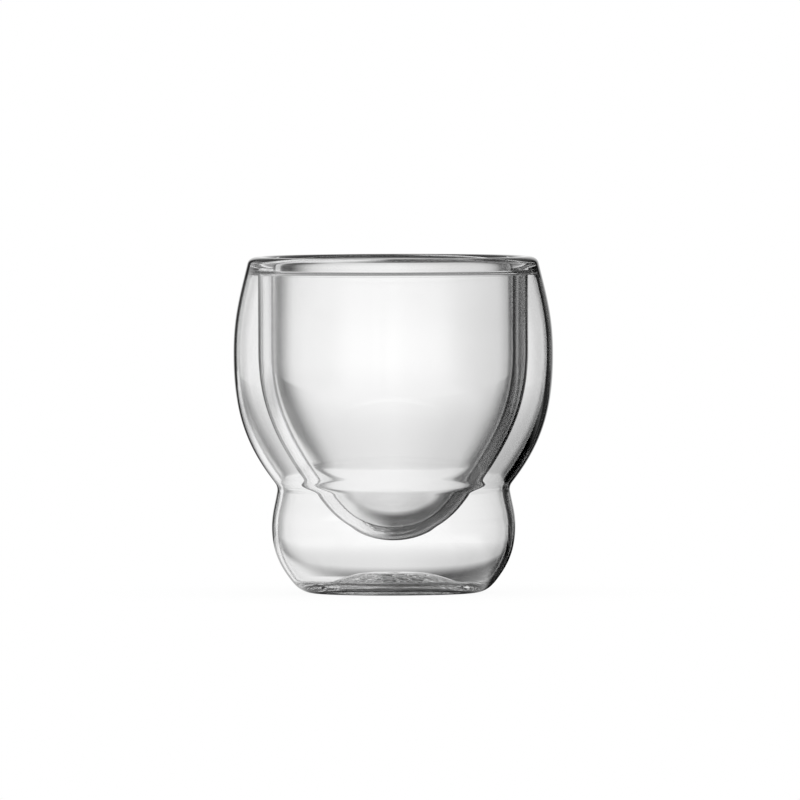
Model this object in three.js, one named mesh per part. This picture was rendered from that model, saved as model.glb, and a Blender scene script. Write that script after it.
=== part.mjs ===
// A double-walled espresso cup of clear blown glass, in millimetres and degrees, with +Z up.
// It stands on z = 0 with its axis on Z. The inner bowl hangs by its rim in a waisted outer shell,
// the rim's turned-down lip is fused to the shell's top edge at a level seam, and a small plug
// closes the vent in the pushed-up base. Every piece is turned about Z.

import * as THREE from "three";

// Outer shell, outside: the ring it stands on, the bulb of the foot, the waist and the bowl
const STAND_RADIUS = 16.2;
const STAND_WIDTH = 1.8;
const FOOT_RADIUS = 25.25;
const FOOT_HEIGHT = 14;
const WAIST_RADIUS = 24;
const WAIST_HEIGHT = 22.1;
const BOWL_RADIUS = 33.15;
const BOWL_HEIGHT = 49.7;

// Leans from upright where a face turns a corner or meets the rim, and how far the corners' bends reach
const HEEL_LEAN = 39;
const HEEL_ROUND = 6.2;
const LEAN_BELOW_WAIST = -9.5;
const LEAN_ABOVE_WAIST = 37;
const LEAN_INSIDE_WAIST = 7;
const WAIST_BEND = 1;
const WAIST_INSIDE_BEND = 0.8;
const WAIST_INSIDE_DROP = 0.65;
const SHOULDER_LENGTH = 2.2;
const RIM_LEAN = -14;

// Glass thickness of the shell at its bowl, just above its waist, at its foot, heel and base
const SHELL_WALL = 0.85;
const SHOULDER_WALL = 1.4;
const FOOT_WALL = 1.15;
const HEEL_WALL = 0.95;
const BASE_WALL = 1.8;

// Rim: overall height, the outer edge at the seam, and how far below the top lie the seam, the two
// ends of the bead's round and the top of the air gap
const CUP_HEIGHT = 69.8;
const RIM_RADIUS = 30.95;
const SEAM_DROP = 4.4;
const BEAD_DROP = 1.35;
const MOUTH_DROP = 1.75;
const BEAD_DEPTH = 2.9;

// Inner bowl: its air gaps to the shell at the rim, the waist and the base, its slope at the waist,
// the height above which its wall is straight, and its glass thickness at the rim and lower down
const RIM_GAP = 2.05;
const WAIST_GAP = 5.5;
const FLOOR_GAP = 6.65;
const TAPER_LEAN = 39.3;
const STRAIGHT_HEIGHT = 50.5;
const RIM_WALL = 2.65;
const BOWL_WALL = 2.4;

// Base: how far it is pushed up, the vent in its middle and the plug in the vent
const PUNT_RISE = 2.7;
const VENT_RADIUS = 1.4;
const PLUG_CLEARANCE = 0.1;
const PLUG_HEAD_RADIUS = 3.5;
const PLUG_HEAD_THICKNESS = 1;
const PLUG_EDGE = 0.3;
const PLUG_RECESS = 0.9;
const LAND_MARGIN = 0.8;

// Smoothness: straight facets in a full turn, and how far a curve's handles reach along its chord
const TURN_FACETS = 48;
const CURVE_REACH = 0.38;

// Places that follow from these
const seamHeight = CUP_HEIGHT - SEAM_DROP;
const beadHeight = CUP_HEIGHT - BEAD_DROP;
const mouthHeight = CUP_HEIGHT - MOUTH_DROP;
const gapTop = CUP_HEIGHT - BEAD_DEPTH;
const floorHeight = PUNT_RISE + BASE_WALL;
const seamWidth = SHELL_WALL / Math.cos(THREE.MathUtils.degToRad(RIM_LEAN));
const seamInside = RIM_RADIUS - seamWidth;
const neckRadius = seamInside - RIM_GAP;
const mouthRadius = neckRadius - RIM_WALL;

// The direction of a line in the half-plane of radius and height, from its lean away from upright
function heading(lean) {
  const angle = THREE.MathUtils.degToRad(lean);
  return new THREE.Vector2(Math.sin(angle), Math.cos(angle));
}

// A point that a profile passes through, its lean there, the glass behind it, and the number of
// facets from it to the next station
function station(radius, height, lean, wall, facets) {
  return { point: new THREE.Vector2(radius, height), lean, wall, facets };
}

// The two stations at the ends of a bend that turns a corner from one lean to another
function corner(point, leanIn, leanOut, reach, walls, facets) {
  const start = point.clone().addScaledVector(heading(leanIn), -reach);
  const end = point.clone().addScaledVector(heading(leanOut), reach);
  return [
    station(start.x, start.y, leanIn, walls[0], facets[0]),
    station(end.x, end.y, leanOut, walls[1], facets[1]),
  ];
}

// A smooth line through the stations: its points, and the points of the glass's other face
function trace(stations) {
  const outside = [];
  const inside = [];
  const add = (point, lean, wall) => {
    const along = heading(lean);
    outside.push(point);
    inside.push(new THREE.Vector2(point.x - along.y * wall, point.y + along.x * wall));
  };
  stations.slice(0, -1).forEach((from, index) => {
    const to = stations[index + 1];
    const reach = CURVE_REACH * from.point.distanceTo(to.point);
    const curve = new THREE.CubicBezierCurve(
      from.point,
      from.point.clone().addScaledVector(heading(from.lean), reach),
      to.point.clone().addScaledVector(heading(to.lean), -reach),
      to.point,
    );
    for (let step = 0; step < from.facets; step += 1) {
      const share = step / from.facets;
      const along = curve.getTangent(share);
      const lean = THREE.MathUtils.radToDeg(Math.atan2(along.x, along.y));
      add(curve.getPoint(share), lean, THREE.MathUtils.lerp(from.wall, to.wall, share));
    }
  });
  const last = stations.at(-1);
  add(last.point, last.lean, last.wall);
  return { outside, inside };
}

// A named piece turned about Z from its profile, which runs up its outside and down its inside
function turned(name, profile, material) {
  const geometry = new THREE.LatheGeometry(profile, TURN_FACETS).rotateX(Math.PI / 2);
  const mesh = new THREE.Mesh(geometry, material);
  mesh.name = name;
  return mesh;
}

// The straight stretch of the shell's slope between the seam and the bead
function rimSlope(height) {
  const out = Math.tan(THREE.MathUtils.degToRad(RIM_LEAN));
  return RIM_RADIUS + (height - seamHeight) * out;
}

// The base and the foot of the shell up to the widest ring of the foot, outside and inside
function shellFoot() {
  const heelReach = HEEL_ROUND * Math.tan(THREE.MathUtils.degToRad(90 - HEEL_LEAN) / 2);
  const heel = new THREE.Vector2(STAND_RADIUS + heelReach, 0);
  return trace([
    station(VENT_RADIUS, PUNT_RISE, 90, BASE_WALL, 1),
    station(PLUG_HEAD_RADIUS + LAND_MARGIN, PUNT_RISE, 90, BASE_WALL, 6),
    station(STAND_RADIUS - STAND_WIDTH, 0, 90, BASE_WALL, 1),
    ...corner(heel, 90, HEEL_LEAN, heelReach, [BASE_WALL, HEEL_WALL], [5, 5]),
    station(FOOT_RADIUS, FOOT_HEIGHT, 0, FOOT_WALL, 1),
  ]);
}

// The shell above its foot, outside: in to the waist, out over the shoulder and up to the seam. The
// inside turns its own, softer corner, which leaves the glass thick at the waist.
function shellWall() {
  const waist = new THREE.Vector2(WAIST_RADIUS, WAIST_HEIGHT);
  const shoulder = waist.clone().addScaledVector(heading(LEAN_ABOVE_WAIST), SHOULDER_LENGTH);
  const outside = trace([
    station(FOOT_RADIUS, FOOT_HEIGHT, 0, 0, 3),
    ...corner(waist, LEAN_BELOW_WAIST, LEAN_ABOVE_WAIST, WAIST_BEND, [0, 0], [4, 1]),
    station(shoulder.x, shoulder.y, LEAN_ABOVE_WAIST, 0, 8),
    station(BOWL_RADIUS, BOWL_HEIGHT, 0, 0, 6),
    station(RIM_RADIUS, seamHeight, RIM_LEAN, 0, 1),
  ]).outside;
  const waistInside = new THREE.Vector2(WAIST_RADIUS - FOOT_WALL, WAIST_HEIGHT - WAIST_INSIDE_DROP);
  const shoulderInside = shoulder.clone().addScaledVector(heading(LEAN_ABOVE_WAIST - 90), SHOULDER_WALL);
  const inside = trace([
    station(FOOT_RADIUS - FOOT_WALL, FOOT_HEIGHT, 0, 0, 3),
    ...corner(waistInside, LEAN_BELOW_WAIST, LEAN_INSIDE_WAIST, WAIST_INSIDE_BEND, [0, 0], [2, 3]),
    station(shoulderInside.x, shoulderInside.y, LEAN_ABOVE_WAIST, 0, 8),
    station(BOWL_RADIUS - SHELL_WALL, BOWL_HEIGHT, 0, 0, 6),
    station(seamInside, seamHeight, RIM_LEAN, 0, 1),
  ]).outside;
  return { outside, inside };
}

// The outer shell, from the vent's edge out under the base and up to the seam, and back inside
function outerShell(material) {
  const foot = shellFoot();
  const wall = shellWall();
  const outside = [...foot.outside, ...wall.outside.slice(1)];
  const inside = [...foot.inside, ...wall.inside.slice(1)].reverse();
  return turned("outer_shell", [...outside, ...inside, outside[0]], material);
}

// The inner bowl, from the bottom of its outside up to the rim, round the top of the air gap, down
// the lip to the seam, over the bead and down inside to the bottom
function innerBowl(material) {
  const waistInside = WAIST_RADIUS - FOOT_WALL;
  const bowl = trace([
    station(0, floorHeight + FLOOR_GAP, 90, BOWL_WALL, 8),
    station(waistInside - WAIST_GAP, WAIST_HEIGHT, TAPER_LEAN, BOWL_WALL, 8),
    station(neckRadius, STRAIGHT_HEIGHT, 0, RIM_WALL, 1),
  ]);
  const springHeight = gapTop - RIM_GAP / 2;
  const lipSlope = rimSlope(springHeight) - seamWidth;
  const gapMiddle = (neckRadius + lipSlope) / 2;
  const lip = trace([
    station(neckRadius, springHeight, 0, 0, 3),
    station(gapMiddle, gapTop, 90, 0, 3),
    station(lipSlope, springHeight, 180 + RIM_LEAN, 0, 1),
    station(seamInside, seamHeight, 180 + RIM_LEAN, 0, 1),
  ]);
  const beadRadius = rimSlope(beadHeight);
  const bead = trace([
    station(RIM_RADIUS, seamHeight, RIM_LEAN, 0, 1),
    station(beadRadius, beadHeight, RIM_LEAN, 0, 5),
    station((beadRadius + mouthRadius) / 2, CUP_HEIGHT, -90, 0, 5),
    station(mouthRadius, mouthHeight, 180, 0, 1),
  ]);
  const inside = bowl.inside.reverse();
  return turned("inner_bowl", [...bowl.outside, ...lip.outside, ...bead.outside, ...inside], material);
}

// The vent plug: a head under the base with a rounded edge, and a stem through the vent
function ventPlug(material) {
  const headBottom = PUNT_RISE - PLUG_HEAD_THICKNESS;
  const stemRadius = VENT_RADIUS - PLUG_CLEARANCE;
  const stemTop = floorHeight - PLUG_RECESS;
  const head = trace([
    station(PLUG_HEAD_RADIUS - PLUG_EDGE, headBottom, 90, 0, 2),
    station(PLUG_HEAD_RADIUS, headBottom + PLUG_EDGE, 0, 0, 1),
    station(PLUG_HEAD_RADIUS, PUNT_RISE, 0, 0, 1),
  ]);
  const stem = trace([
    station(stemRadius, PUNT_RISE, 0, 0, 1),
    station(stemRadius, stemTop - PLUG_EDGE, 0, 0, 2),
    station(stemRadius - PLUG_EDGE, stemTop, -90, 0, 1),
  ]);
  const bottom = new THREE.Vector2(0, headBottom);
  const top = new THREE.Vector2(0, stemTop);
  return turned("vent_plug", [bottom, ...head.outside, ...stem.outside, top], material);
}

// Clear glass with a breath of grey-green, and milky silicone for the plug
const glass = { color: 0xf1f5f4, roughness: 0.03, metalness: 0, transparent: true };
const bowlGlass = new THREE.MeshStandardMaterial({ ...glass, opacity: 0.4 });
const shellGlass = new THREE.MeshStandardMaterial({ ...glass, opacity: 0.25 });
const silicone = new THREE.MeshStandardMaterial({ color: 0xe9ecea, roughness: 0.45, metalness: 0 });

const cup = new THREE.Group();
cup.add(innerBowl(bowlGlass), outerShell(shellGlass), ventPlug(silicone));

export default cup;
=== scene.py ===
"""The looks of a double-walled espresso cup: clear blown glass and a milky vent plug, on white.

Sizes are in millimetres, and meshes are made in metres. The cup stands on z = 0 with its axis on Z.
"""

import math

import bpy
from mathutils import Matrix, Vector


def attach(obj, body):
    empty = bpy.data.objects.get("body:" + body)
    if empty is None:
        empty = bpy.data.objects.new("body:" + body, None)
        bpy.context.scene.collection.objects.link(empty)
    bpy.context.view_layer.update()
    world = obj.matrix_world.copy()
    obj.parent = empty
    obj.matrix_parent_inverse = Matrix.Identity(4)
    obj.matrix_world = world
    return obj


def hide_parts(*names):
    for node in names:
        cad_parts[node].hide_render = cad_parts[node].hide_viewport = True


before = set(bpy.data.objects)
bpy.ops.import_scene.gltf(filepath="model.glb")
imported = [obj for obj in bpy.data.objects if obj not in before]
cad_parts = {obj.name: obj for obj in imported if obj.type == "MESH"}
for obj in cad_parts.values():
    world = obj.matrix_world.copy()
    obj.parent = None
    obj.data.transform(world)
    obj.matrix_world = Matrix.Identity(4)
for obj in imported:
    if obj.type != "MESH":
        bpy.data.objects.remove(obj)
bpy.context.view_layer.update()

MM = 0.001

# Outer shell, outside: the ring it stands on, the bulb of the foot, the waist and the bowl
STAND_RADIUS = 16.2
STAND_WIDTH = 1.8
FOOT_RADIUS = 25.25
FOOT_HEIGHT = 14.0
WAIST_RADIUS = 24.0
WAIST_HEIGHT = 22.1
BOWL_RADIUS = 33.15
BOWL_HEIGHT = 49.7

# Leans from upright where the outside turns a corner or meets the rim, and the corners' rounds
HEEL_LEAN = 39.0
HEEL_ROUND = 6.2
LEAN_BELOW_WAIST = -9.5
LEAN_ABOVE_WAIST = 37.0
LEAN_INSIDE_WAIST = 7.0
WAIST_BEND = 1.0
WAIST_INSIDE_BEND = 0.8
WAIST_INSIDE_DROP = 0.65
SHOULDER_LENGTH = 2.2
RIM_LEAN = -14.0

# Glass thickness of the shell at its bowl, just above its waist, at its foot, heel and base
SHELL_WALL = 0.85
SHOULDER_WALL = 1.4
FOOT_WALL = 1.15
HEEL_WALL = 0.85
BASE_WALL = 1.8

# Rim: overall height, the outer edge at the seam, the solid bead and the seam under it
CUP_HEIGHT = 69.8
RIM_RADIUS = 30.95
SEAM_DROP = 4.4
BEAD_DROP = 1.35
MOUTH_DROP = 1.75
BEAD_DEPTH = 2.9

# Inner bowl: its gaps to the shell, its slope at the waist, and its glass thickness
RIM_GAP = 2.05
WAIST_GAP = 5.5
FLOOR_GAP = 6.65
TAPER_LEAN = 39.3
STRAIGHT_HEIGHT = 50.5
RIM_WALL = 2.65
BOWL_WALL = 2.4

# Base: how far it is pushed up, a point and lean of its slope, the vent and the plug in the vent
PUNT_RISE = 2.7
PUNT_MIDDLE = 11.2, 1.35
PUNT_LEAN = 107.0
VENT_RADIUS = 1.4
PLUG_CLEARANCE = 0.1
PLUG_HEAD_RADIUS = 3.5
PLUG_HEAD_THICKNESS = 1.0
PLUG_EDGE = 0.3
PLUG_RECESS = 0.9
LAND_MARGIN = 0.8

# Ripples of the blown glass in the pushed-up base: their depth below and above, and their run along
# X and along Y (radians for each mm, how far they sway, and the sway's radians for each mm)
RIPPLE_BELOW = 0.12
RIPPLE_ABOVE = 0.05
RIPPLE_X = 1.1, 0.8, 0.9
RIPPLE_Y = 1.4, 0.6, 0.7

# Fineness of the turned meshes, their sharp edges, and how far a curve's handles reach
TURN_FACETS = 192
FACET_LENGTH = 0.45
FACET_TURN = 6.0
SHARP_ANGLE = 40.0
CURVE_REACH = 0.38

# Nearness that counts as touching: to the axis and to a level in millimetres, to the seam in metres
ON_AXIS = 1e-6
ON_LEVEL = 1e-3
IN_SEAM = 1e-7

# Camera: a long lens a little above the cup, aimed so that the frame matches the photograph
CAMERA_DISTANCE = 4000.0
CAMERA_ELEVATION = 1.5
CAMERA_ROLL = 0.15
AIM_RIGHT = 1.38
AIM_HEIGHT = 40.0
FRAME_WIDTH = 165.9
SENSOR_WIDTH = 36.0

# Glass: its refraction, and its painted shade, darker towards its edges (one less the cosine of the
# angle)
GLASS_IOR = 1.47
BOWL_PAINTED_EDGE = 0.77, 0.80
SHELL_PAINTED_EDGE = 0.79, 0.85
PAINTED_EDGE_LIGHT = 0.0

# Surface: the glass's faint waves, the worn ring that it stands on, and the milky silicone
WAVE_SCALE = 110.0
WAVE_DETAIL = 1.0
WAVE_HEIGHT = 0.005
WEAR_HEIGHT = 0.5
WEAR_ROUGHNESS = 0.2
WEAR_SCALE = 900.0
WEAR_DETAIL = 3.0
MILK_DARK = 0.80, 0.82, 0.81, 1
MILK_LIGHT = 0.95, 0.96, 0.95, 1
MILK_SCALE = 700.0
MILK_DETAIL = 2.0
MILK_CLOUDS = 0.3, 0.7
MILK_ROUGHNESS = 0.25, 0.45
MILK_CLEARNESS = 0.2
MILK_IOR = 1.41

# Studio: brightness round the horizon as (degrees right of straight behind the cup, brightness),
# and the ceiling's brightness, with the degrees above the horizon where it starts and is full
HORIZON = (
    (-180, 1.00), (-110, 0.90), (-70, 0.85), (-54, 0.95), (-41, 0.60), (-31, 1.00), (-25, 0.90),
    (-22, 0.05), (-15, 0.04), (-12, 0.40), (-9, 0.85), (-6, 0.97), (0, 1.00), (5, 0.82), (11, 0.75),
    (15, 0.50), (19, 0.03), (35, 0.02), (39, 0.35), (43, 0.02), (50, 0.03), (60, 0.12), (75, 0.15),
    (95, 0.10), (120, 0.15), (140, 0.95), (180, 1.00),
)
CEILING_START = 8.0
CEILING_END = 30.0
CEILING_LIGHT = 0.3

# Floor as glass shows it, a painted glow: its size and light, a painted dark card on it behind the cup,
# to the right, the painted contact shadow that falls forwards, lighter at its core, and the sweep into
# the horizon's light; and the share of the object's shadow that the camera sees
FLOOR_SIZE = 1300.0
FLOOR_ALBEDO = 0.85
FLOOR_LIGHT = 0.9
PAINTED_CARD_LIGHT = 0.0
PAINTED_CARD_MIDDLE = 44.0
PAINTED_CARD_HALF = 53.0
PAINTED_CARD_SOFT = 10.0
CORE_START = 7.0
CORE_END = 14.0
CORE_LIGHT = 0.25
CONTACT_FORWARD = 5.0
CONTACT_START = 15.0
CONTACT_END = 21.0
CONTACT_LIGHT = 0.02
SWEEP_START = 110.0
SWEEP_END = 200.0
SWEEP_LIGHT = 0.78
SHADOW_RADIUS = 80.0
SHADOW_SHARE = 0.06

# A Mix node's places for its two values and its result, by the kind of value
MIX_SOCKETS = {"FLOAT": (2, 3, 0), "RGBA": (6, 7, 2)}

# Light paths long enough for four walls of glass
GLASS_BOUNCES = 32
GLOSSY_BOUNCES = 16

seam_height = CUP_HEIGHT - SEAM_DROP
bead_height = CUP_HEIGHT - BEAD_DROP
mouth_height = CUP_HEIGHT - MOUTH_DROP
gap_top = CUP_HEIGHT - BEAD_DEPTH
floor_height = PUNT_RISE + BASE_WALL
seam_width = SHELL_WALL / math.cos(math.radians(RIM_LEAN))
seam_inside = RIM_RADIUS - seam_width
neck_radius = seam_inside - RIM_GAP
mouth_radius = neck_radius - RIM_WALL


# Profiles in the half-plane of radius and height

def heading(lean):
    """The direction of a line that leans this far from upright, outwards."""
    angle = math.radians(lean)
    return Vector((math.sin(angle), math.cos(angle)))


def station(radius, height, lean, wall=0.0):
    """A point that a profile passes through, its lean there and the glass behind it."""
    return Vector((radius, height)), lean, wall


def corner(radius, height, lean_in, lean_out, reach, walls=(0.0, 0.0)):
    """The two stations at the ends of a bend that turns a corner from one lean to another."""
    start = Vector((radius, height)) - heading(lean_in) * reach
    end = Vector((radius, height)) + heading(lean_out) * reach
    return station(*start, lean_in, walls[0]), station(*end, lean_out, walls[1])


def cubic(ends, share):
    """A point of a cubic curve and its direction there, from its four control points."""
    a, b, c, d = ends
    rest = 1 - share
    point = a * rest**3 + b * (3 * rest * rest * share) + c * (3 * rest * share**2) + d * share**3
    along = (b - a) * rest * rest + (c - b) * (2 * rest * share) + (d - c) * share**2
    return point, along.normalized()


def trace(*stations):
    """A smooth line through the stations: its points, and the points of the glass's other face."""
    outside, inside = [], []

    def add(point, along, wall):
        outside.append(point)
        inside.append(Vector((point.x - along.y * wall, point.y + along.x * wall)))

    for (start, lean_in, wall_in), (end, lean_out, wall_out) in zip(stations, stations[1:]):
        chord = (end - start).length
        reach = CURVE_REACH * chord
        ends = start, start + heading(lean_in) * reach, end - heading(lean_out) * reach, end
        steps = max(1, round(chord / FACET_LENGTH), round(abs(lean_out - lean_in) / FACET_TURN))
        for step in range(steps):
            share = step / steps
            add(*cubic(ends, share), wall_in + (wall_out - wall_in) * share)
    end, lean, wall = stations[-1]
    add(end, heading(lean), wall)
    return outside, inside


def rim_slope(height):
    """The radius of the rim's outer slope at a height, between the seam and the bead."""
    return RIM_RADIUS + (height - seam_height) * math.tan(math.radians(RIM_LEAN))


def shell_profile():
    """The outer shell, from the vent out under the base, up to the seam and back inside."""
    heel_bend = HEEL_ROUND * math.tan(math.radians(90 - HEEL_LEAN) / 2)
    base, base_inside = trace(
        station(VENT_RADIUS, PUNT_RISE, 90, BASE_WALL),
        station(PLUG_HEAD_RADIUS + LAND_MARGIN, PUNT_RISE, 90, BASE_WALL),
        station(*PUNT_MIDDLE, PUNT_LEAN, BASE_WALL),
        station(STAND_RADIUS - STAND_WIDTH, 0, 90, BASE_WALL),
        *corner(STAND_RADIUS + heel_bend, 0, 90, HEEL_LEAN, heel_bend, (BASE_WALL, HEEL_WALL)),
        station(FOOT_RADIUS, FOOT_HEIGHT, 0, FOOT_WALL),
    )
    waist = Vector((WAIST_RADIUS, WAIST_HEIGHT))
    shoulder = waist + heading(LEAN_ABOVE_WAIST) * SHOULDER_LENGTH
    wall, _ = trace(
        station(FOOT_RADIUS, FOOT_HEIGHT, 0),
        *corner(*waist, LEAN_BELOW_WAIST, LEAN_ABOVE_WAIST, WAIST_BEND),
        station(*shoulder, LEAN_ABOVE_WAIST),
        station(BOWL_RADIUS, BOWL_HEIGHT, 0),
        station(RIM_RADIUS, seam_height, RIM_LEAN),
    )
    behind_waist = waist - Vector((FOOT_WALL, WAIST_INSIDE_DROP))
    behind_shoulder = shoulder + heading(LEAN_ABOVE_WAIST - 90) * SHOULDER_WALL
    wall_inside, _ = trace(
        station(FOOT_RADIUS - FOOT_WALL, FOOT_HEIGHT, 0),
        *corner(*behind_waist, LEAN_BELOW_WAIST, LEAN_INSIDE_WAIST, WAIST_INSIDE_BEND),
        station(*behind_shoulder, LEAN_ABOVE_WAIST),
        station(BOWL_RADIUS - SHELL_WALL, BOWL_HEIGHT, 0),
        station(seam_inside, seam_height, RIM_LEAN),
    )
    outside = base + wall[1:]
    inside = base_inside + wall_inside[1:]
    return outside + inside[::-1]


def bowl_profile():
    """The inner bowl, up its outside, round the gap, down the lip, over the bead and back inside."""
    waist_inside = WAIST_RADIUS - FOOT_WALL
    outside, inside = trace(
        station(0, floor_height + FLOOR_GAP, 90, BOWL_WALL),
        station(waist_inside - WAIST_GAP, WAIST_HEIGHT, TAPER_LEAN, BOWL_WALL),
        station(neck_radius, STRAIGHT_HEIGHT, 0, RIM_WALL),
    )
    spring = gap_top - RIM_GAP / 2
    lip_slope = rim_slope(spring) - seam_width
    lip, _ = trace(
        station(neck_radius, spring, 0),
        station((neck_radius + lip_slope) / 2, gap_top, 90),
        station(lip_slope, spring, 180 + RIM_LEAN),
        station(seam_inside, seam_height, 180 + RIM_LEAN),
    )
    bead_radius = rim_slope(bead_height)
    bead, _ = trace(
        station(RIM_RADIUS, seam_height, RIM_LEAN),
        station(bead_radius, bead_height, RIM_LEAN),
        station((bead_radius + mouth_radius) / 2, CUP_HEIGHT, -90),
        station(mouth_radius, mouth_height, 180),
    )
    return outside + lip + bead + inside[::-1]


def plug_profile():
    """The vent plug, up its outside from the middle of its head to the middle of its stem."""
    head_bottom = PUNT_RISE - PLUG_HEAD_THICKNESS
    stem_radius = VENT_RADIUS - PLUG_CLEARANCE
    stem_top = floor_height - PLUG_RECESS
    head, _ = trace(
        station(0, head_bottom, 90),
        station(PLUG_HEAD_RADIUS - PLUG_EDGE, head_bottom, 90),
        station(PLUG_HEAD_RADIUS, head_bottom + PLUG_EDGE, 0),
        station(PLUG_HEAD_RADIUS, PUNT_RISE, 0),
    )
    stem, _ = trace(
        station(stem_radius, PUNT_RISE, 0),
        station(stem_radius, stem_top - PLUG_EDGE, 0),
        station(stem_radius - PLUG_EDGE, stem_top, -90),
        station(0, stem_top, -90),
    )
    return head + stem


# Meshes

def seamed(low, high):
    """Whether both points lie in the seam, where the shell's glass runs on into the bowl's."""
    return all(abs(point[2] - seam_height * MM) < IN_SEAM for point in (low, high))


def turned(name, profile):
    """A mesh turned about Z from a profile up its outside and down its inside, open at the seam."""
    verts, rings = [], []
    for point in profile:
        if point.x < ON_AXIS:
            rings.append([len(verts)] * TURN_FACETS)
            verts.append((0, 0, point.y * MM))
            continue
        rings.append(range(len(verts), len(verts) + TURN_FACETS))
        for facet in range(TURN_FACETS):
            angle = 2 * math.pi * facet / TURN_FACETS
            verts.append((point.x * MM * math.cos(angle), point.x * MM * math.sin(angle), point.y * MM))
    pairs = list(zip(rings, rings[1:]))
    if profile[0].x > ON_AXIS:
        pairs.append((rings[-1], rings[0]))
    faces = []
    for low, high in pairs:
        if seamed(verts[low[0]], verts[high[0]]):
            continue
        for facet in range(TURN_FACETS):
            after = (facet + 1) % TURN_FACETS
            loop = [low[facet], low[after], high[after], high[facet]]
            faces.append(list(dict.fromkeys(loop)))
    mesh = bpy.data.meshes.new(name)
    mesh.from_pydata(verts, [], faces)
    mesh.validate()
    mesh.polygons.foreach_set("use_smooth", [True] * len(mesh.polygons))
    mesh.set_sharp_from_angle(angle=math.radians(SHARP_ANGLE))
    piece = bpy.data.objects.new(name, mesh)
    bpy.context.scene.collection.objects.link(piece)
    return piece


def ripple(along, aside, turn, sway, sway_turn):
    """The phase of a ripple that runs along one axis and sways along the other."""
    return turn * along + sway * math.sin(sway_turn * aside)


def rippled(piece):
    """Uneven blown glass in the pushed-up base, between the vent's land and the ring."""
    inner = PLUG_HEAD_RADIUS + LAND_MARGIN
    outer = STAND_RADIUS - STAND_WIDTH
    below = [vertex.normal.z < 0 for vertex in piece.data.vertices]
    for vertex, underneath in zip(piece.data.vertices, below):
        x, y, z = vertex.co / MM
        radius = math.hypot(x, y)
        if z > floor_height + ON_LEVEL or not inner < radius < outer:
            continue
        swell = math.sin(math.pi * (radius - inner) / (outer - inner))
        depth = RIPPLE_BELOW if underneath else RIPPLE_ABOVE
        wave = math.sin(ripple(x, y, *RIPPLE_X)) * math.cos(ripple(y, x, *RIPPLE_Y))
        vertex.co.z += depth * swell * wave * MM


# Materials

def node(tree, kind, **values):
    """A new node with these attributes set."""
    made = tree.nodes.new(kind)
    for key, value in values.items():
        setattr(made, key, value)
    return made


def math_node(tree, operation, first, second=None):
    """A Math node fed by sockets or plain numbers; returns its output."""
    made = node(tree, "ShaderNodeMath", operation=operation)
    for index, value in enumerate((first, second)):
        if value is None:
            continue
        if isinstance(value, (int, float)):
            made.inputs[index].default_value = value
        else:
            tree.links.new(value, made.inputs[index])
    return made.outputs[0]


def map_range(tree, value, source, target):
    """A smooth step from one range of values to another; returns its output."""
    made = node(tree, "ShaderNodeMapRange", interpolation_type="SMOOTHSTEP")
    tree.links.new(value, made.inputs["Value"])
    made.inputs["From Min"].default_value = source[0]
    made.inputs["From Max"].default_value = source[1]
    made.inputs["To Min"].default_value = target[0]
    made.inputs["To Max"].default_value = target[1]
    return made.outputs[0]


def mixed(tree, kind, factor, first, second):
    """A blend of two colours or numbers, each a socket or a plain value; returns its output."""
    made = node(tree, "ShaderNodeMix", data_type=kind)
    tree.links.new(factor, made.inputs[0])
    first_index, second_index, output_index = MIX_SOCKETS[kind]
    for index, value in ((first_index, first), (second_index, second)):
        if isinstance(value, bpy.types.NodeSocket):
            tree.links.new(value, made.inputs[index])
        else:
            made.inputs[index].default_value = value
    return made.outputs[output_index]


def principled(name, **sockets):
    """A Principled material with these socket values; returns the material, its nodes and links."""
    material = bpy.data.materials.new(name)
    material.use_nodes = True
    tree = material.node_tree
    shader = tree.nodes["Principled BSDF"]
    for socket, value in sockets.items():
        shader.inputs[socket.replace("_", " ")].default_value = value
    return material, tree, shader


def noise(tree, place, scale, detail):
    """A soft noise over the piece; returns its value from 0 to 1."""
    made = node(tree, "ShaderNodeTexNoise")
    tree.links.new(place, made.inputs["Vector"])
    made.inputs["Scale"].default_value = scale
    made.inputs["Detail"].default_value = detail
    return made.outputs["Fac"]


def clear_glass(name, painted_edge_range):
    """Clear, faintly wavy glass with painted shade where it is seen at a grazing angle, worn where it
    stands.
    """
    material, tree, shader = principled(name, Transmission_Weight=1.0, IOR=GLASS_IOR)
    # Painted shade: the base colour turns darker, to black, where the glass is seen at a grazing angle
    facing = node(tree, "ShaderNodeLayerWeight")
    painted_edge_shade = map_range(tree, facing.outputs["Facing"], painted_edge_range, (1.0, PAINTED_EDGE_LIGHT))
    tree.links.new(painted_edge_shade, shader.inputs["Base Color"])
    place = node(tree, "ShaderNodeTexCoord").outputs["Object"]
    split = node(tree, "ShaderNodeSeparateXYZ")
    tree.links.new(place, split.inputs[0])
    wear = map_range(tree, split.outputs[2], (0.0, WEAR_HEIGHT * MM), (WEAR_ROUGHNESS, 0.0))
    scuffs = noise(tree, place, WEAR_SCALE, WEAR_DETAIL)
    tree.links.new(math_node(tree, "MULTIPLY", wear, scuffs), shader.inputs["Roughness"])
    waves = node(tree, "ShaderNodeBump")
    waves.inputs["Distance"].default_value = WAVE_HEIGHT * MM
    tree.links.new(noise(tree, place, WAVE_SCALE, WAVE_DETAIL), waves.inputs["Height"])
    tree.links.new(waves.outputs[0], shader.inputs["Normal"])
    return material


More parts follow.
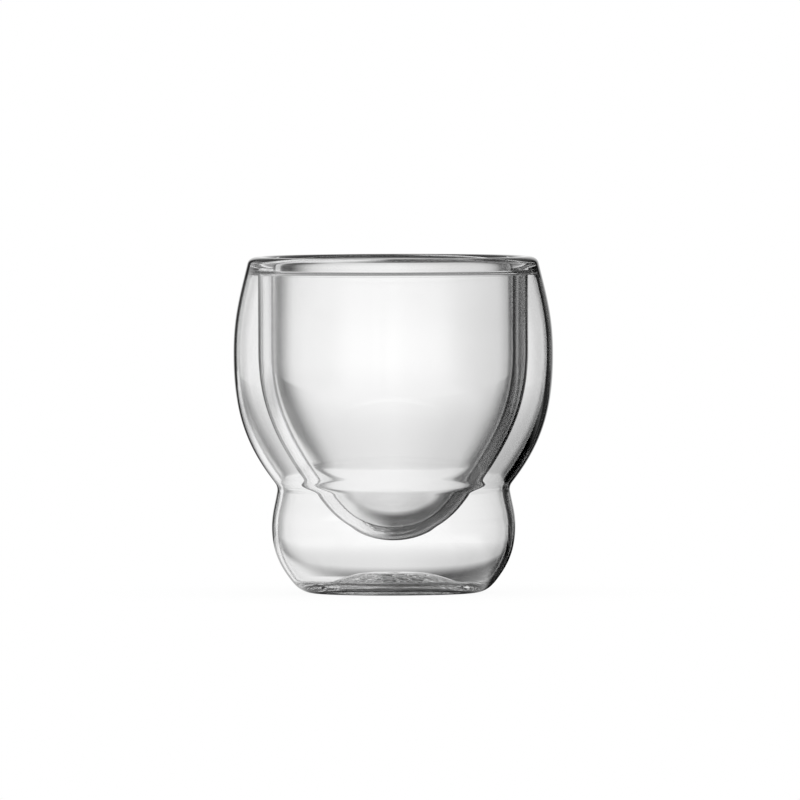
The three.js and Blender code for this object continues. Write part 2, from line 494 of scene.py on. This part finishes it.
def silicone():
    """Milky silicone, a little cloudier in places."""
    clearness = {"Transmission_Weight": MILK_CLEARNESS, "IOR": MILK_IOR}
    material, tree, shader = principled("milky_silicone", **clearness)
    place = node(tree, "ShaderNodeTexCoord").outputs["Object"]
    clouds = noise(tree, place, MILK_SCALE, MILK_DETAIL)
    tree.links.new(mixed(tree, "RGBA", clouds, MILK_DARK, MILK_LIGHT), shader.inputs["Base Color"])
    roughness = map_range(tree, clouds, MILK_CLOUDS, MILK_ROUGHNESS)
    tree.links.new(roughness, shader.inputs["Roughness"])
    return material


# The stage: a white floor and a studio of bright and dark strips round the horizon

def horizon_light(tree, x, y):
    """The horizon's brightness in the direction of x and y; returns a colour output."""
    azimuth = math_node(tree, "ARCTAN2", x, y)
    turn = math_node(tree, "ADD", math_node(tree, "DIVIDE", azimuth, 2 * math.pi), 0.5)
    ramp = node(tree, "ShaderNodeValToRGB")
    ramp.color_ramp.interpolation = "LINEAR"
    stops = ramp.color_ramp.elements
    while len(stops) < len(HORIZON):
        stops.new(0.5)
    for stop, (degrees, light) in zip(stops, HORIZON):
        stop.position = degrees / 360 + 0.5
        stop.color = (light, light, light, 1)
    tree.links.new(turn, ramp.inputs[0])
    return ramp.outputs["Color"]


def studio_world():
    """White light, and for what glass shows and mirrors a backdrop with dark strips at its sides."""
    world = bpy.data.worlds.new("studio")
    bpy.context.scene.world = world
    world.use_nodes = True
    tree = world.node_tree
    tree.nodes.clear()
    coordinates = node(tree, "ShaderNodeTexCoord")
    split = node(tree, "ShaderNodeSeparateXYZ")
    tree.links.new(coordinates.outputs["Generated"], split.inputs[0])
    x, y, z = split.outputs
    horizon = horizon_light(tree, x, y)
    rise = [math.sin(math.radians(degrees)) for degrees in (CEILING_START, CEILING_END)]
    above = map_range(tree, z, rise, (0.0, 1.0))
    ceiling = CEILING_LIGHT, CEILING_LIGHT, CEILING_LIGHT, 1
    studio = node(tree, "ShaderNodeBackground")
    tree.links.new(mixed(tree, "RGBA", above, horizon, ceiling), studio.inputs["Color"])
    white = node(tree, "ShaderNodeBackground")
    white.inputs["Color"].default_value = (1, 1, 1, 1)
    path = node(tree, "ShaderNodeLightPath")
    glass = math_node(tree, "MAXIMUM", path.outputs["Is Glossy Ray"], path.outputs["Is Transmission Ray"])
    mix = node(tree, "ShaderNodeMixShader")
    tree.links.new(glass, mix.inputs[0])
    tree.links.new(white.outputs[0], mix.inputs[1])
    tree.links.new(studio.outputs[0], mix.inputs[2])
    output = node(tree, "ShaderNodeOutputWorld")
    tree.links.new(mix.outputs[0], output.inputs["Surface"])


def distance_from(tree, position, point):
    """The distance of a position from a point; returns a socket."""
    made = node(tree, "ShaderNodeVectorMath", operation="DISTANCE")
    tree.links.new(position, made.inputs[0])
    made.inputs[1].default_value = point
    return made.outputs["Value"]


def floor_light(tree, position):
    """The floor's painted glow as glass shows it, with a painted dark card and contact shadow; returns a
    socket.
    """
    split = node(tree, "ShaderNodeSeparateXYZ")
    tree.links.new(position, split.inputs[0])
    x, y, _ = split.outputs
    azimuth = math_node(tree, "ARCTAN2", x, y)
    # Painted shade: a dark card that exists only as darkness painted into the floor's glow, behind the
    # cup, to the right
    apart = math_node(tree, "ABSOLUTE", math_node(tree, "SUBTRACT", azimuth, math.radians(PAINTED_CARD_MIDDLE)))
    edges = math.radians(PAINTED_CARD_HALF - PAINTED_CARD_SOFT), math.radians(PAINTED_CARD_HALF + PAINTED_CARD_SOFT)
    painted_card_shade = map_range(tree, apart, edges, (PAINTED_CARD_LIGHT, FLOOR_LIGHT))
    distance = distance_from(tree, position, (0, 0, 0))
    forward = distance_from(tree, position, (0, -CONTACT_FORWARD * MM, 0))
    # Painted shadow: the contact shadow is painted into the floor's glow, lighter at its core
    core = map_range(tree, distance, (CORE_START * MM, CORE_END * MM), (CORE_LIGHT, CONTACT_LIGHT))
    reach = CONTACT_START * MM, CONTACT_END * MM
    contact = math_node(tree, "MAXIMUM", core, map_range(tree, forward, reach, (CONTACT_LIGHT, 1.0)))
    near = math_node(tree, "MULTIPLY", painted_card_shade, contact)
    rise = map_range(tree, distance, (SWEEP_END * MM, FLOOR_SIZE / 2 * MM), (SWEEP_LIGHT, 1.0))
    far = math_node(tree, "MULTIPLY", horizon_light(tree, x, y), rise)
    share = map_range(tree, distance, (SWEEP_START * MM, SWEEP_END * MM), (0.0, 1.0))
    return mixed(tree, "FLOAT", share, near, far)


def white_floor():
    """A floor that the camera sees white, with a faint shadow of the cup."""
    half = FLOOR_SIZE / 2 * MM
    mesh = bpy.data.meshes.new("floor")
    corners = (-half, -half, 0), (half, -half, 0), (half, half, 0), (-half, half, 0)
    mesh.from_pydata(corners, [], [(0, 1, 2, 3)])
    floor = bpy.data.objects.new("floor", mesh)
    bpy.context.scene.collection.objects.link(floor)
    material = bpy.data.materials.new("floor_white")
    material.use_nodes = True
    tree = material.node_tree
    tree.nodes.clear()
    diffuse = node(tree, "ShaderNodeBsdfDiffuse")
    diffuse.inputs["Color"].default_value = (FLOOR_ALBEDO, FLOOR_ALBEDO, FLOOR_ALBEDO, 1)
    position = node(tree, "ShaderNodeNewGeometry").outputs["Position"]
    path = node(tree, "ShaderNodeLightPath")
    seen = path.outputs["Is Camera Ray"]
    glow = node(tree, "ShaderNodeEmission")
    light = math_node(tree, "MAXIMUM", floor_light(tree, position), seen)
    tree.links.new(light, glow.inputs["Strength"])
    distance = distance_from(tree, position, (0, 0, 0))
    fade = map_range(tree, distance, (0.0, SHADOW_RADIUS * MM), (1 - SHADOW_SHARE, 1.0))
    mix = node(tree, "ShaderNodeMixShader")
    tree.links.new(fade, mix.inputs[0])
    tree.links.new(diffuse.outputs[0], mix.inputs[1])
    tree.links.new(glow.outputs[0], mix.inputs[2])
    output = node(tree, "ShaderNodeOutputMaterial")
    tree.links.new(mix.outputs[0], output.inputs["Surface"])
    mesh.materials.append(material)


def photo_camera():
    """The photograph's camera."""
    data = bpy.data.cameras.new("camera")
    data.sensor_width = SENSOR_WIDTH
    data.lens = SENSOR_WIDTH * CAMERA_DISTANCE / FRAME_WIDTH
    camera = bpy.data.objects.new("camera", data)
    bpy.context.scene.collection.objects.link(camera)
    tilt = math.radians(CAMERA_ELEVATION)
    aim = Vector((AIM_RIGHT, 0, AIM_HEIGHT))
    camera.location = (aim + Vector((0, -math.cos(tilt), math.sin(tilt))) * CAMERA_DISTANCE) * MM
    camera.rotation_mode = "ZYX"
    camera.rotation_euler = (math.pi / 2 - tilt, 0, -math.radians(CAMERA_ROLL))
    bpy.context.scene.camera = camera


photo_camera()
studio_world()
white_floor()

for node_name, profile, material, slot in (
    ("inner_bowl", bowl_profile(), clear_glass("bowl_glass", BOWL_PAINTED_EDGE), "bowl_glass"),
    ("outer_shell", shell_profile(), clear_glass("shell_glass", SHELL_PAINTED_EDGE), "shell_glass"),
    ("vent_plug", plug_profile(), silicone(), "plug_silicone"),
):
    piece = turned("cup_" + node_name, profile)
    if node_name == "outer_shell":
        rippled(piece)
    piece.data.materials.append(material)
    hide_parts(node_name)
    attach(piece, "root")

scene = bpy.context.scene
scene.view_settings.view_transform = "Standard"
scene.cycles.max_bounces = GLASS_BOUNCES
scene.cycles.transmission_bounces = GLASS_BOUNCES
scene.cycles.glossy_bounces = GLOSSY_BOUNCES
